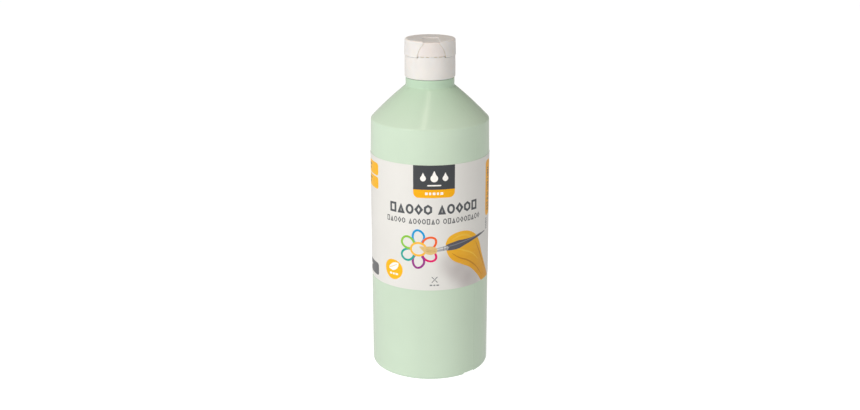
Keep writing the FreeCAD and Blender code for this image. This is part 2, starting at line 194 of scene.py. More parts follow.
class Recipe:
    """A material with one Principled shader and helpers that add and join nodes."""

    def __init__(self, name):
        self.material = bpy.data.materials.new(name)
        self.material.use_nodes = True
        self.tree = self.material.node_tree
        self.shader = self.tree.nodes["Principled BSDF"]
        self.place = self.tree.nodes.new("ShaderNodeTexCoord").outputs["Object"]

    def add(self, kind, links=None, **values):
        """A node whose inputs are set from links (sockets) and values (numbers)."""
        node = self.tree.nodes.new(kind)
        for key, value in values.items():
            if hasattr(node, key):
                setattr(node, key, value)
            else:
                node.inputs[key.replace("_", " ")].default_value = value
        for key, socket in (links or {}).items():
            self.tree.links.new(socket, node.inputs[key])
        return node

    def height(self):
        """Height above the foot, in metres."""
        return self.add("ShaderNodeSeparateXYZ", {"Vector": self.place}).outputs["Z"]

    def stretched(self, x, y, z):
        """Object coordinates multiplied by a scale on each axis."""
        return self.add("ShaderNodeMapping", {"Vector": self.place}, Scale=(x, y, z)).outputs["Vector"]

    def noise(self, scale, detail=3.0, roughness=0.5, place=None):
        """A noise pattern; a bigger scale is finer."""
        links = {"Vector": place or self.place}
        node = self.add("ShaderNodeTexNoise", links, Scale=scale, Detail=detail, Roughness=roughness)
        return node.outputs["Fac"]

    def spread(self, socket, low, high, start=0.3, end=0.7):
        """Rescale a pattern: start becomes low and end becomes high."""
        node = self.add("ShaderNodeMapRange", {"Value": socket})
        node.inputs["From Min"].default_value = start
        node.inputs["From Max"].default_value = end
        node.inputs["To Min"].default_value = low
        node.inputs["To Max"].default_value = high
        return node.outputs["Result"]

    def blend(self, share, first, second):
        """Mix two colours; each is a colour or a socket."""
        node = self.tree.nodes.new("ShaderNodeMix")
        node.data_type = "RGBA"
        self.tree.links.new(share, node.inputs["Factor"])
        for index, colour in ((6, first), (7, second)):
            if isinstance(colour, bpy.types.NodeSocket):
                self.tree.links.new(colour, node.inputs[index])
            else:
                node.inputs[index].default_value = colour
        return node.outputs[2]

    def clouded(self, scale, colour, dark, light, detail=3, roughness=0.5):
        """A colour that varies between two factors of itself."""
        share = self.spread(self.noise(scale, detail, roughness), 0, 1)
        return self.blend(share, shaded(colour, dark), shaded(colour, light))

    def relief(self, *layers):
        """Bumps over each other; each is a pattern, a strength and a depth in millimetres."""
        normal = None
        for pattern, strength, depth in layers:
            links = {"Height": pattern}
            if normal is not None:
                links["Normal"] = normal
            node = self.add("ShaderNodeBump", links, Strength=strength, Distance=depth * MM)
            normal = node.outputs["Normal"]
        return normal

    def finish(self, colour, roughness, normal, **values):
        """Join the patterns to the shader, set its other inputs, and give the material."""
        self.tree.links.new(colour, self.shader.inputs["Base Color"])
        self.tree.links.new(roughness, self.shader.inputs["Roughness"])
        self.tree.links.new(normal, self.shader.inputs["Normal"])
        for key, value in values.items():
            self.shader.inputs[key.replace("_", " ")].default_value = value
        return self.material


# ---------------------------------------------------------------- materials


def bottle_plastic():
    """Blown polyethylene in a pastel green: waxy, with slow waves and a fine grain."""
    recipe = Recipe("bottle_green")
    colour = recipe.clouded(22, srgb(*BOTTLE_GREEN), 0.97, 1.03)
    flow = recipe.spread(recipe.noise(90, 2, place=recipe.stretched(1, 1, 0.06)), 0, 1)
    colour = recipe.blend(recipe.spread(flow, 0, 0.16, 0.2, 1), colour, srgb(*BOTTLE_WARM))
    # Darker, deeper green towards the neck: partly the thicker neck's own colour, partly painted shade
    # under the cap.
    neck_shade_share = recipe.spread(recipe.height(), 0, 1, SHOULDER_HEIGHT * MM, NECK_HEIGHT * MM)
    colour = recipe.blend(neck_shade_share, colour, srgb(*NECK_GREEN_AND_CAP_SHADE))
    scuffs = recipe.noise(260, 6, 0.7, recipe.stretched(1, 1, 0.25))
    roughness = recipe.spread(scuffs, 0.16, 0.26, 0.35, 0.75)
    normal = recipe.relief(
        (recipe.noise(28, 1.5), 0.6, 0.35),
        (recipe.noise(420, 2), 0.35, 0.03),
        (recipe.noise(2600, 2), 0.3, 0.012),
    )
    return recipe.finish(colour, roughness, normal, Specular_IOR_Level=0.2)


def cap_plastic(name, colour):
    """Moulded polypropylene: satin, with faint flow lines and a fine grain."""
    recipe = Recipe(name)
    tone = recipe.clouded(140, srgb(*colour), 0.975, 1.02)
    roughness = recipe.spread(recipe.noise(700, 4, 0.6), 0.42, 0.54)
    streaks = recipe.noise(600, 2, place=recipe.stretched(1, 1, 0.05))
    normal = recipe.relief(
        (streaks, 0.35, 0.02),
        (recipe.noise(330, 2), 0.4, 0.03),
        (recipe.noise(3800, 2), 0.35, 0.01),
    )
    glow = {
        "Subsurface_Weight": 0.4,
        "Subsurface_Scale": 1.0 * MM,
        "Subsurface_Radius": (1.0, 0.85, 0.7),
    }
    return recipe.finish(tone, roughness, normal, Specular_IOR_Level=0.3, **glow)


def foam():
    """Expanded polyethylene foam of the sealing washer."""
    recipe = Recipe("washer_foam_white")
    links = {"Vector": recipe.place}
    cells = recipe.add("ShaderNodeTexVoronoi", links, Scale=2600.0).outputs["Distance"]
    tone = recipe.blend(recipe.spread(cells, 0, 1, 0.1, 0.6), srgb(*FOAM_DARK), srgb(*FOAM_LIGHT))
    roughness = recipe.spread(recipe.noise(900), 0.7, 0.85)
    return recipe.finish(tone, roughness, recipe.relief((cells, 0.6, 0.08)))


def wet_paint():
    """Poster paint in the bottle: smooth, with slow swirls of a lighter green."""
    recipe = Recipe("paint_green")
    swirl = recipe.add("ShaderNodeTexNoise", {"Vector": recipe.place}, Scale=60.0, Distortion=2.5)
    share = recipe.spread(swirl.outputs["Fac"], 0, 1)
    tone = recipe.blend(share, srgb(*PAINT_GREEN), srgb(*PAINT_LIGHT))
    roughness = recipe.spread(recipe.noise(300), 0.18, 0.3)
    return recipe.finish(tone, roughness, recipe.relief((recipe.noise(110, 2), 0.4, 0.15)))


def film_surface(recipe, tone):
    """What the bare film and every ink on it share: gloss, grain and the faint pull of the web."""
    roughness = recipe.spread(recipe.noise(500, 4, 0.6), 0.36, 0.46)
    pull = recipe.noise(150, 2, place=recipe.stretched(1, 1, 0.1))
    normal = recipe.relief((pull, 0.3, 0.03), (recipe.noise(3000, 2), 0.25, 0.008))
    return recipe.finish(tone, roughness, normal, Specular_IOR_Level=0.25)


def bare_film():
    """White film with the soft grey shadow that is printed beside the yellow sweep."""
    recipe = Recipe("label_white")
    tone = recipe.clouded(60, srgb(*LABEL_WHITE), 0.985, 1.01)
    for along, height, reach, strength in PRINTED_SHADOWS:
        x, y = on_label(along)
        offset = recipe.add("ShaderNodeVectorMath", {0: recipe.place}, operation="DISTANCE")
        offset.inputs[1].default_value = (x * MM, y * MM, height * MM)
        share = recipe.spread(offset.outputs["Value"], strength, 0, 0.2 * reach * MM, reach * MM)
        share.node.interpolation_type = "SMOOTHSTEP"
        tone = recipe.blend(share, tone, srgb(*SHADOW_GREY))
    return film_surface(recipe, tone)


def ink(name, colour):
    """A printed ink with a faint unevenness in its density."""
    recipe = Recipe(f"ink_{name}")
    return film_surface(recipe, recipe.clouded(900, srgb(*colour), 0.96, 1.04, 4, 0.6))


def graded_ink(name, upper, lower, high, low):
    """An ink whose colour runs from one height to another, with streaks like brush marks."""
    recipe = Recipe(f"ink_{name}")
    fall = recipe.spread(recipe.height(), 0, 1, high * MM, low * MM)
    tone = recipe.blend(fall, srgb(*upper), srgb(*lower))
    turned = recipe.add("ShaderNodeMapping", {"Vector": recipe.place}, Scale=(0.25, 0.25, 1.0))
    turned.inputs["Rotation"].default_value = (0, math.radians(-40), 0)
    marks = recipe.noise(420, 3, 0.6, turned.outputs["Vector"])
    tone = recipe.blend(recipe.spread(marks, 0, 0.22, 0.35, 0.75), tone, srgb(*SWEEP_STREAK))
    return film_surface(recipe, tone)


# ---------------------------------------------------------------- outlines

# Places on the label are millimetres: along it from the middle of its front, positive to the
# right, and height above the foot.

ART = []


def on_label(along, radius=LABEL_RADIUS):
    """X and Y of a place along the label, in millimetres."""
    turn = along / LABEL_RADIUS
    return radius * math.sin(turn), -radius * math.cos(turn)


def paint(ink_name, outline):
    """Add a shape to the artwork, over everything that is there already."""
    area = sum(a[0] * b[1] - b[0] * a[1] for a, b in zip(outline, outline[1:] + outline[:1]))
    ART.append((ink_name, outline if area > 0 else outline[::-1]))


def rounded_box(left, low, right, high, radius, upper_radius=None):
    """Outline of a box with round corners; the upper ones may have a radius of their own."""
    most = 0.49 * min(right - left, high - low)
    radius = min(radius, most)
    upper = radius if upper_radius is None else min(upper_radius, most)
    corners = (
        (right, low, -1, 1, radius, 270),
        (right, high, -1, -1, upper, 0),
        (left, high, 1, -1, upper, 90),
        (left, low, 1, 1, radius, 180),
    )
    outline = []
    for x, y, inward_x, inward_y, bend, start in corners:
        if bend == 0:
            outline.append((x, y))
            continue
        steps = 6 if bend > 0.8 else 3
        for i in range(steps + 1):
            turn = math.radians(start + 90 * i / steps)
            centre_x = x + inward_x * bend
            centre_y = y + inward_y * bend
            outline.append((centre_x + bend * math.cos(turn), centre_y + bend * math.sin(turn)))
    return outline


def oval(x, y, half_width, half_height, steps=36, wobble=0.0):
    """Outline of an oval; wobble makes it look drawn by hand."""
    outline = []
    for i in range(steps):
        turn = 2 * math.pi * i / steps
        size = 1 + wobble * math.sin(3 * turn + 0.6)
        outline.append(
            (x + half_width * size * math.cos(turn), y + half_height * size * math.sin(turn))
        )
    return outline


def polygon(x, y, half_width, half_height, sides, turn):
    """Outline of a stretched regular polygon."""
    corners = []
    for i in range(sides):
        angle = math.radians(turn + 360 * i / sides)
        corners.append((x + half_width * math.cos(angle), y + half_height * math.sin(angle)))
    return corners


def smooth(points, steps=8, closed=False):
    """A Catmull-Rom curve through the points."""
    count = len(points)
    curve = []
    for i in range(count if closed else count - 1):
        if closed:
            four = [points[(i + k - 1) % count] for k in range(4)]
        else:
            four = [points[min(max(i + k - 1, 0), count - 1)] for k in range(4)]
        for j in range(steps):
            t = j / steps
            weights = (
                -0.5 * t + t**2 - 0.5 * t**3,
                1 - 2.5 * t**2 + 1.5 * t**3,
                0.5 * t + 2 * t**2 - 1.5 * t**3,
                -0.5 * t**2 + 0.5 * t**3,
            )
            curve.append(tuple(sum(w * p[axis] for w, p in zip(weights, four)) for axis in (0, 1)))
    if not closed:
        curve.append(tuple(points[-1]))
    return curve


def stroke(line, widths):
    """Outline of a line drawn with a width that may change along it."""
    if not isinstance(widths, (list, tuple)):
        widths = [widths] * len(line)
    left, right = [], []
    for i, (x, y) in enumerate(line):
        before = line[max(i - 1, 0)]
        after = line[min(i + 1, len(line) - 1)]
        length = math.hypot(after[0] - before[0], after[1] - before[1])
        across = (-(after[1] - before[1]) / length, (after[0] - before[0]) / length)
        half = widths[i] / 2
        left.append((x + half * across[0], y + half * across[1]))
        right.append((x - half * across[0], y - half * across[1]))
    tips = []
    for end, inner in ((-1, -2), (0, 1)):
        lead = math.hypot(line[end][0] - line[inner][0], line[end][1] - line[inner][1])
        reach = widths[end] / 2 / lead
        tips.append(
            tuple(line[end][axis] + reach * (line[end][axis] - line[inner][axis]) for axis in (0, 1))
        )
    return left + [tips[0]] + right[::-1] + [tips[1]]


# ---------------------------------------------------------------- label artwork

# Plain signs: sides, turn, half width and half height for a sign one wide and one high, and the
# height of its middle.
SIGNS = (
    (4, 45, 0.64, 0.707, 0.5),
    (3, 90, 0.577, 0.667, 0.333),
    (18, 0, 0.5, 0.5, 0.5),
    (4, 0, 0.54, 0.56, 0.5),
    (6, 30, 0.56, 0.52, 0.5),
)


def tile_row(ink_name, left, low, height, widths, gap, radius):
    """A row of rounded tiles that stands for a line of print; None leaves a space between words."""
    x = left
    for width in widths:
        if width is None:
            x += 2.2 * gap
            continue
        paint(ink_name, rounded_box(x, low, x + width, low + height, radius))
        x += width + gap


def bar_column(ink_name, left, right, low, high, lengths, gaps):
    """A column of short bars of random lengths, with gaps that are random if there are several."""
    y = low
    while y < high:
        length = random.choice(lengths)
        paint(ink_name, rounded_box(left, y, right, y + length, 0.15))
        y += length + (random.choice(gaps) if len(gaps) > 1 else gaps[0])


def draw_drop(ink_name, x, y, size):
    """A paint drop: round below, pointed above."""
    outline = []
    for i in range(25):
        turn = math.radians(-235 + 290 * i / 24)
        outline.append((x + size * math.cos(turn), y + size * math.sin(turn)))
    outline.append((x, y + 2.1 * size))
    paint(ink_name, outline)


def draw_badge():
    """The dark badge at the top of the label, with its amber foot."""
    left, right, foot, step = -11.6, 11.9, 109.5, 114.2
    paint("amber", rounded_box(left, foot, right, LABEL_HIGH - 0.4, 3.0, 0))
    paint("charcoal", rounded_box(left, step, right, LABEL_HIGH - 0.02, 0, 0))
    middle = (left + right) / 2
    for offset, size in ((-6.2, 1.6), (0, 2.1), (6.2, 1.6)):
        draw_drop("print_white", middle + offset, 120.6, size)
    tile_row("print_white", middle - 3.9, 116.2, 0.75, (7.8,), 0, 0.35)
    tile_row("print_white", middle - 5.1, 111.2, 1.5, (1.5, 1.2, 1.6, 1.2, 1.6), 0.75, 0.25)


def draw_sign(kind, x, low, width, height, line):
    """One of the plain signs, drawn as a line of even width."""
    sides, turn, across, up, rise = SIGNS[kind % len(SIGNS)]
    y = low + rise * height
    inset = line / math.cos(math.pi / sides)
    paint("text_grey", polygon(x, y, across * width, up * height, sides, turn))
    paint("bare", polygon(x, y, across * width - inset, up * height - inset, sides, turn))


def draw_headline():
    """Two rows of plain signs in place of the title and the line below it."""
    rows = (
        # signs in each word, middle, low, width, height, pitch, space, line
        ((5, 5), 0.6, 99.8, 4.7, 5.8, 5.2, 2.6, 1.25),
        ((5, 7, 10), 0.8, 94.2, 2.1, 3.2, 2.55, 1.6, 0.5),
    )
    for words, middle, low, width, height, pitch, space, line in rows:
        x = middle - (sum(words) * pitch + (len(words) - 1) * space - pitch) / 2
        kind = 0
        for word in words:
            for _ in range(word):
                draw_sign(kind, x, low, width, height, line)
                x += pitch
                kind += 1
            x += space
            kind += 1


def draw_flower():
    """Six outlined petals round an outlined middle."""
    x, y = -8.7, 79.6
    reach, width = 7.1, 1.25
    petal_long, petal_wide, petal_lean = 3.9, 3.25, 0.25
    colours = ("blue", "vermilion", "magenta", "purple", "teal", "green")
    for k, colour in enumerate(colours):
        turn = math.radians(90 - 60 * k)
        petal = []
        for i in range(29):
            bend = math.radians(-142 + 284 * i / 28)
            out = reach + petal_long * math.cos(bend) + petal_lean * math.sin(2 * bend + k)
            side = petal_wide * math.sin(bend)
            petal.append(
                (
                    x + out * math.cos(turn) - side * math.sin(turn),
                    y + out * math.sin(turn) + side * math.cos(turn),
                )
            )
        paint(colour, stroke(petal, width))
    turns = [math.radians(8 * i) for i in range(46)]
    ring = [(x + 4.3 * math.cos(turn), y + 3.7 * math.sin(turn)) for turn in turns]
    paint("yolk", stroke(ring[:24], width))
    paint("yolk", stroke(ring[22:], width))


def draw_sweep():
    """A broad sweep of yellow paint that leaves the label at its lower edge."""
    edge = LABEL_LOW + 0.02
    upper = [(6.6, 82.6), (8.6, 86.4), (14, 88.6), (20.5, 88.4), (26.5, 85.2), (30.6, 79.6)]
    upper += [(33.4, 72), (38.2, 62.8), (43.4, edge)]
    lower = [(33.0, edge), (28.6, 60.4), (22.6, 66), (16.2, 69.4), (10.8, 72.4), (7.6, 76.8)]
    lower += [upper[0]]
    paint("sweep", smooth(upper, 6) + smooth(lower, 6)[:-1])
    ridges = (
        ("sweep_dark", [(10.5, 76.5), (15, 73.4), (21, 70.6), (27.5, 65.6), (33.5, 58.6)], 0.9),
        ("sweep_light", [(10.2, 84.6), (15.5, 86.4), (20.5, 85.8), (25.5, 82.4)], 1.1),
        ("sweep_light", [(12, 79.4), (17.5, 77.4), (24, 74.4), (29.5, 69.4)], 0.8),
        ("sweep_dark", [(27, 80.6), (30, 75), (33.4, 68.4), (38.4, 60)], 0.8),
    )
    for name, line, width in ridges:
        curve = smooth(line)
        last = len(curve) - 1
        taper = [width * (0.25 + 0.75 * math.sin(math.pi * i / last)) for i in range(last + 1)]
        paint(name, stroke(curve, taper))


def draw_brush():
    """A paint brush that reaches from the flower to the right."""
    line = smooth([(7.2, 80.2), (12, 80.9), (17.2, 81.8), (27, 83.2), (36.9, 84.3)], 7)
    last = len(line) - 1
    bulge = [3.3 + 1.5 * math.sin(math.pi * min(1, i / last / 0.7)) for i in range(last + 1)]
    taper = [width * min(1, 0.12 + 1.5 * (1 - i / last)) for i, width in enumerate(bulge)]
    paint("handle", stroke(line, taper))
    paint("handle_light", stroke([(x, y + 0.55) for x, y in line[3:-4]], 0.55))
    ferrule = smooth([(0.8, 79.1), (4, 79.6), (7.4, 80.2)], 5)
    paint("steel", stroke(ferrule, [2.0 + 0.08 * i for i in range(len(ferrule))]))
    paint("steel_light", stroke([(x, y + 0.35) for x, y in ferrule], 0.5))
    for x, y in (ferrule[-2], ferrule[-4]):
        paint("steel_dark", rounded_box(x - 0.14, y - 1.2, x + 0.14, y + 1.2, 0))
    hair = [(-8.2, 81.2), (-5.2, 81.2), (-1.6, 81.4), (1.4, 80.4)]
    hair += [(1.6, 77.9), (-1.2, 76.5), (-4.2, 76.9), (-6.4, 78.9)]
    paint("bristle", smooth(hair, 5, closed=True))
    for drop in (0.9, -0.1):
        strand = [(-4.2, 79.3 - drop), (-1.6, 79.1 - drop), (0.9, 79.3 - drop)]
        paint("bristle_dark", stroke(strand, 0.22))


def draw_oval():
    """The small oval with a plain leaf."""
    paint("light_amber", oval(-24.3, 65.6, 6.1, 6.0, wobble=0.02))
    leaf = [(-27.6, 66.2), (-24.8, 69.3), (-21.0, 69.7), (-21.7, 66.7), (-24.6, 64.9)]
    paint("print_white", smooth(leaf, 5, closed=True))
    paint("light_amber", stroke([(-27.1, 66.4), (-24.6, 67.4), (-22.2, 68.7)], 0.35))
    tile_row("print_white", -27.0, 62.4, 1.1, (1.7, 1.3, 1.8), 0.5, 0.25)


def draw_cross():
    """The small crossed mark at the lower edge."""
    middle = 0.4
    arms = (
        ((-1.5, 60.0), (1.5, 63.2)),
        ((-1.5, 63.2), (-0.5, 62.1)),
        ((0.5, 61.1), (1.5, 60.0)),
    )
    for arm in arms:
        paint("soft_grey", stroke([(middle + x, y) for x, y in arm], 0.5))
    tile_row("soft_grey", middle - 2.8, 57.9, 0.8, (1.5, 1.1, 1.5), 0.6, 0.2)


def draw_sides():
    """The boxes at the left side, and the stripe of bars at the right side."""
    for low, high in ((117.5, 124.8), (109.7, 116.7)):
        middle = (low + high) / 2
        paint("light_amber", rounded_box(-60, low, -36.8, high, 1.8))
        tile_row("charcoal", -58, middle + 0.6, 1.1, (3, 2, 3.2, 1.6), 0.6, 0.3)
        tile_row("charcoal", -58, middle - 1.9, 1.1, (2, 3.2, 1.4, 1.4), 0.6, 0.3)
    paint("box_grey", rounded_box(-60, 57.9, -37.5, 65.3, 1.8))
    tile_row("print_white", -58, 60.9, 1.5, (2.4, 3.2, 2), 0.9, 0.4)

    random.seed(5)
    paint("amber", rounded_box(37.8, 92.5, 45.4, 125.2, 2.6))
    bar_column("charcoal", 40.6, 42.7, 95.2, 121, (0.7, 1.0, 1.3), (0.5, 0.5, 1.3))
    bar_column("soft_grey", 38.2, 40.4, 84.8, 91, (0.6, 0.9), (0.5,))


def draw_back():
    """Two panels of small print, a row of swatches, a frame and three drops on the back."""
    random.seed(11)
    for left, width in ((52.0, 40.0), (-95.0, 31.0)):
        tile_row("text_grey", left, 119.4, 2.6, (5, 3.6, 6, None, 4.6, 5), 1.0, 0.5)
        for line in range(9):
            low = 114.0 - 3.3 * line
            x = left
            end = left + width * (0.6 if line % 4 == 3 else 1)
            while x < end - 2:
                length = min(random.uniform(1.6, 5.4), end - x)
                paint("soft_grey", rounded_box(x, low, x + length, low + 1.15, 0.3))
                x += length + 0.9
    swatches = ("blue", "teal", "green", "yolk", "vermilion", "magenta", "purple")
    for k, name in enumerate(swatches):
        paint(name, oval(54.6 + 5.6 * k, 79.6, 2.1, 2.1, 24))
    paint("soft_grey", rounded_box(52, 60, 92, 74.5, 1.6))
    paint("bare", rounded_box(52.5, 60.5, 91.5, 74, 1.2))
    tile_row("text_grey", 55, 69.2, 2.2, (4, 3, 5, None, 3.4, 4.2), 0.9, 0.45)
    tile_row("soft_grey", 55, 64.6, 1.6, (3, 4.6, 2.2, 3.8, 5), 0.9, 0.35)
    for k, name in enumerate(("blue", "yolk", "magenta")):
        draw_drop(name, -90 + 9 * k, 73, 2.6)
    tile_row("soft_grey", -95, 62.5, 1.5, (4, 3, 5.4, 2.6, 4.4, 3.6), 1.0, 0.4)


# ---------------------------------------------------------------- label mesh


def thickened(front, count):
    """Faces of a sheet with two sides: vertex count + i lies behind vertex i of the front."""
    back = [tuple(count + i for i in reversed(face)) for face in front]
    edges = dict.fromkeys((a, b) for face in front for a, b in zip(face, face[1:] + face[:1]))
    rim = [(b, a, count + a, count + b) for a, b in edges if (b, a) not in edges]
    return front + back + rim


def flat_label():
    """The flat label cut along a grid and the artwork: its places, triangles and their inks."""
    start = math.radians(LAP_START) * LABEL_RADIUS
    end = math.radians(LAP_START + 360 + LAP) * LABEL_RADIUS
    points, edges, faces, inks = [], [], [], []

    def add_face(outline, ink_name):
        first = len(points)
        points.extend(Vector(place) for place in outline)
        faces.append(list(range(first, first + len(outline))))
        inks.append(ink_name)

    def add_line(a, b):
        points.extend((Vector(a), Vector(b)))
        edges.append((len(points) - 2, len(points) - 1))

    sheet = [(start, LABEL_LOW), (end, LABEL_LOW), (end, LABEL_HIGH), (start, LABEL_HIGH)]
    add_face(sheet, "bare")
    columns = round((360 + LAP) / COLUMN)
    for i in range(1, columns):
        x = start + (end - start) * i / columns
        add_line((x, LABEL_LOW), (x, LABEL_HIGH))
    rows = round((LABEL_HIGH - LABEL_LOW) / ROW)
    for i in range(1, rows):
        z = LABEL_LOW + (LABEL_HIGH - LABEL_LOW) * i / rows
        add_line((start, z), (end, z))
    for ink_name, outline in ART:
        add_face(outline, ink_name)

    inside_only = 1
    cut = delaunay_2d_cdt(points, edges, faces, inside_only, MERGE_DISTANCE)
    places, triangles, sources = cut[0], cut[2], cut[5]
    return places, [tuple(face) for face in triangles], [inks[max(source)] for source in sources]


def wrapped(place, depth):
    """Where a place on the flat label comes to lie; the lap is lifted over the label's start."""
    along, height = place
    lap_from = math.radians(LAP_START + 360 - LAP_RAMP) * LABEL_RADIUS
    lap_to = math.radians(LAP_START + 360) * LABEL_RADIUS
    lift = min(1.0, max(0.0, (along - lap_from) / (lap_to - lap_from)))
    x, y = on_label(along, LABEL_RADIUS + lift * LAP_LIFT - depth)
    return (x * MM, y * MM, height * MM)


def label_normals(mesh, sheet_faces):
    """A normal for each corner: radial outside and inside, and the face's own on the rim."""
    normals = []
    for face in mesh.polygons:
        for index in face.vertices:
            if face.index < 2 * sheet_faces:
                x, y, _ = mesh.vertices[index].co
                sign = 1 if face.index < sheet_faces else -1
                normals.append(Vector((x, y, 0)).normalized() * sign)
            else:
                normals.append(face.normal)
    return normals


def label_mesh(materials):
    """The label with its printing, wrapped round the bottle, with the film's thickness."""
    places, front, inks = flat_label()
    outside = [wrapped(place, 0) for place in places]
    inside = [wrapped(place, FILM_THICK) for place in places]
    faces = thickened(front, len(places))
    mesh = bpy.data.meshes.new("printed_label")
    mesh.from_pydata(outside + inside, [], faces)
    names = sorted(materials)
    for name in names:
        mesh.materials.append(materials[name])
    inks += ["bare"] * (len(faces) - len(front))
    mesh.polygons.foreach_set("material_index", [names.index(name) for name in inks])
    mesh.validate()
    mesh.polygons.foreach_set("use_smooth", [True] * len(mesh.polygons))
    mesh.normals_split_custom_set(label_normals(mesh, len(front)))
    return mesh


def printed_label():
    """Print, wrap and fit the label."""
    for draw in (
        draw_badge,
        draw_headline,
        draw_flower,
        draw_sweep,
        draw_brush,
        draw_oval,
        draw_cross,
        draw_sides,
        draw_back,
    ):
        draw()
    materials = {name: ink(name, colour) for name, colour in INKS.items()}
    materials["sweep"] = graded_ink("sweep", SWEEP_UPPER, SWEEP_LOWER, SWEEP_HIGH, SWEEP_LOW)
    materials["bare"] = bare_film()
    label = bpy.data.objects.new("printed_label", label_mesh(materials))
    scene.collection.objects.link(label)
    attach(label, "bottle")
    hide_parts("wrap_label")


# ---------------------------------------------------------------- bottle, cap and small parts


def carry(node, material):
    """Give a CAD node its finished material."""
    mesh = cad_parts[node].data
    for index in range(len(mesh.materials)):
        mesh.materials[index] = material


def plain_object(name, vertices, faces, material):
    """A piece made straight from its vertices, which are in millimetres."""
    mesh = bpy.data.meshes.new(name)
    mesh.from_pydata([tuple(part * MM for part in vertex) for vertex in vertices], [], faces)
    mesh.materials.append(material)
    mesh.validate()
    piece = bpy.data.objects.new(name, mesh)
    scene.collection.objects.link(piece)
    return piece


def evenly(start, end, steps):
    """Evenly spaced values from start to end."""
    return [start + (end - start) * i / steps for i in range(steps + 1)]


def join_rings(rings, faces):
    """Close a strip round rings of vertices, with a face at each end."""
    for ring, ahead in zip(rings, rings[1:]):
        for k in range(len(ring)):
            following = (k + 1) % len(ring)
            faces.append((ring[k], ring[following], ahead[following], ahead[k]))
    faces.append(tuple(rings[0][::-1]))
    faces.append(tuple(rings[-1]))


def along_shell():
    """Runs of places and normals on the shell that the beads follow, with each bead's size."""
    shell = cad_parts["bottle_shell"]
    corners = [shell.matrix_world @ vertex.co / MM for vertex in shell.data.vertices]
    surface = BVHTree.FromPolygons(corners, [tuple(face.vertices) for face in shell.data.polygons])
    turn = math.radians(PARTING_TURN)
    out, up = Vector((math.sin(turn), -math.cos(turn), 0)), Vector((0, 0, 1))
    far_out, far_below = 50, 5
    runs = []
    for side in (out, -out):
        below = (BEAD_LOW, LABEL_LOW - BEAD_TO_LABEL)
        above = (LABEL_HIGH + BEAD_TO_LABEL, BEAD_HIGH)
        for low, high in (below, above):
            heights = evenly(low, high, round((high - low) / BEAD_STEP))
            hits = [surface.ray_cast(side * far_out + up * height, -side) for height in heights]
            runs.append((hits, WALL_BEAD))
    reaches = evenly(-FOOT_REACH, FOOT_REACH, round(2 * FOOT_REACH / BEAD_STEP))
    hits = [surface.ray_cast(out * reach - up * far_below, up) for reach in reaches]
    runs.append((hits, FOOT_BEAD))
    return runs


def mould_lines(material):
    """The fine beads that the two mould halves leave down the bottle and across its underside."""
    vertices, faces = [], []
    bends = evenly(0, math.pi, BEAD_CORNERS - 1)
    for run, (width, height) in along_shell():
        rings = []
        for i, (place, normal, *_) in enumerate(run):
            before, after = run[max(i - 1, 0)][0], run[min(i + 1, len(run) - 1)][0]
            side = (after - before).normalized().cross(normal).normalized()
            first = len(vertices)
            for bend in bends:
                rise = (height + BEAD_SUNK) * math.sin(bend) - BEAD_SUNK
                vertices.append(place + side * (width / 2 * math.cos(bend)) + normal * rise)
            rings.append(list(range(first, len(vertices)))[::-1])
        join_rings(rings, faces)
    piece = plain_object("mould_lines", vertices, faces, material)
    piece.data.polygons.foreach_set("use_smooth", [len(face) == 4 for face in faces])
    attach(piece, "bottle")


def hinge_film(material):
    """The thin lands of the film hinge, each cut into fine rows."""
    low_corner, high_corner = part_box("hinge_film")
    low, high = low_corner.z / MM, high_corner.z / MM
    outer = -low_corner.y / MM
    row = FILM_ROWS + 1
    vertices, faces = [], []
    for start, end in FILM_LANDS:
        columns = max(2, round((end - start) / FILM_COLUMN))
        first = len(vertices)
        for radius in (outer, outer - FILM_DEPTH):
            for x in evenly(start, end, columns):
                for z in evenly(low, high, FILM_ROWS):
                    vertices.append((x, -math.sqrt(radius**2 - x**2), z))
        front = []
        for i in range(columns):
            for k in range(FILM_ROWS):
                spot = i * row + k
                front.append((spot, spot + row, spot + row + 1, spot + 1))
        for face in thickened(front, (columns + 1) * row):
            faces.append(tuple(first + index for index in face))
    piece = plain_object("bending_film", vertices, faces, material)
    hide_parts("hinge_film")
    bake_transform(piece)


def add_shade_sheet(line, half, wall_at, thick, side, vertices, faces):
    """Add a thin strip that follows a line seen from the front, under a wall of a given radius."""
    rings = []
    for i, place in enumerate(line):
        ahead = (line[min(i + 1, len(line) - 1)] - line[max(i - 1, 0)]).normalized()
        across = Vector((-ahead.y, ahead.x)) * half
        first = len(vertices)
        for reach, depth in ((1, 0), (-1, 0), (-1, thick), (1, thick)):
            x, z = place + across * reach
            radius = wall_at(z) - depth
            vertices.append((side * x, -math.sqrt(radius**2 - x**2), z))
        ring = list(range(first, len(vertices)))
        rings.append(ring if side > 0 else ring[::-1])
    join_rings(rings, faces)


def flank_line():
    """The middle of the gap beside the strap, seen from the front, from its foot to its top."""
    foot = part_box("hinge_strap")[1].x / MM + GAP / 2
    start, end = Vector((foot, FLANK_LOW)), Vector((FLANK_TOP, FLANK_HIGH))
    chord = end - start
    inward = Vector((-chord.y, chord.x)).normalized()
    centre = (start + end) / 2 + inward * math.sqrt(FLANK_BEND**2 - (chord.length / 2) ** 2)
    first = math.atan2(*(start - centre).yx)
    last = math.atan2(*(end - centre).yx)
    line = []
    for turn in evenly(first, last, FLANK_STEPS):
        line.append(centre + FLANK_BEND * Vector((math.cos(turn), math.sin(turn))))
    line.append(Vector((FLANK_TOP, FLANK_HIGH + STRAIGHT_RISE)))
    return line


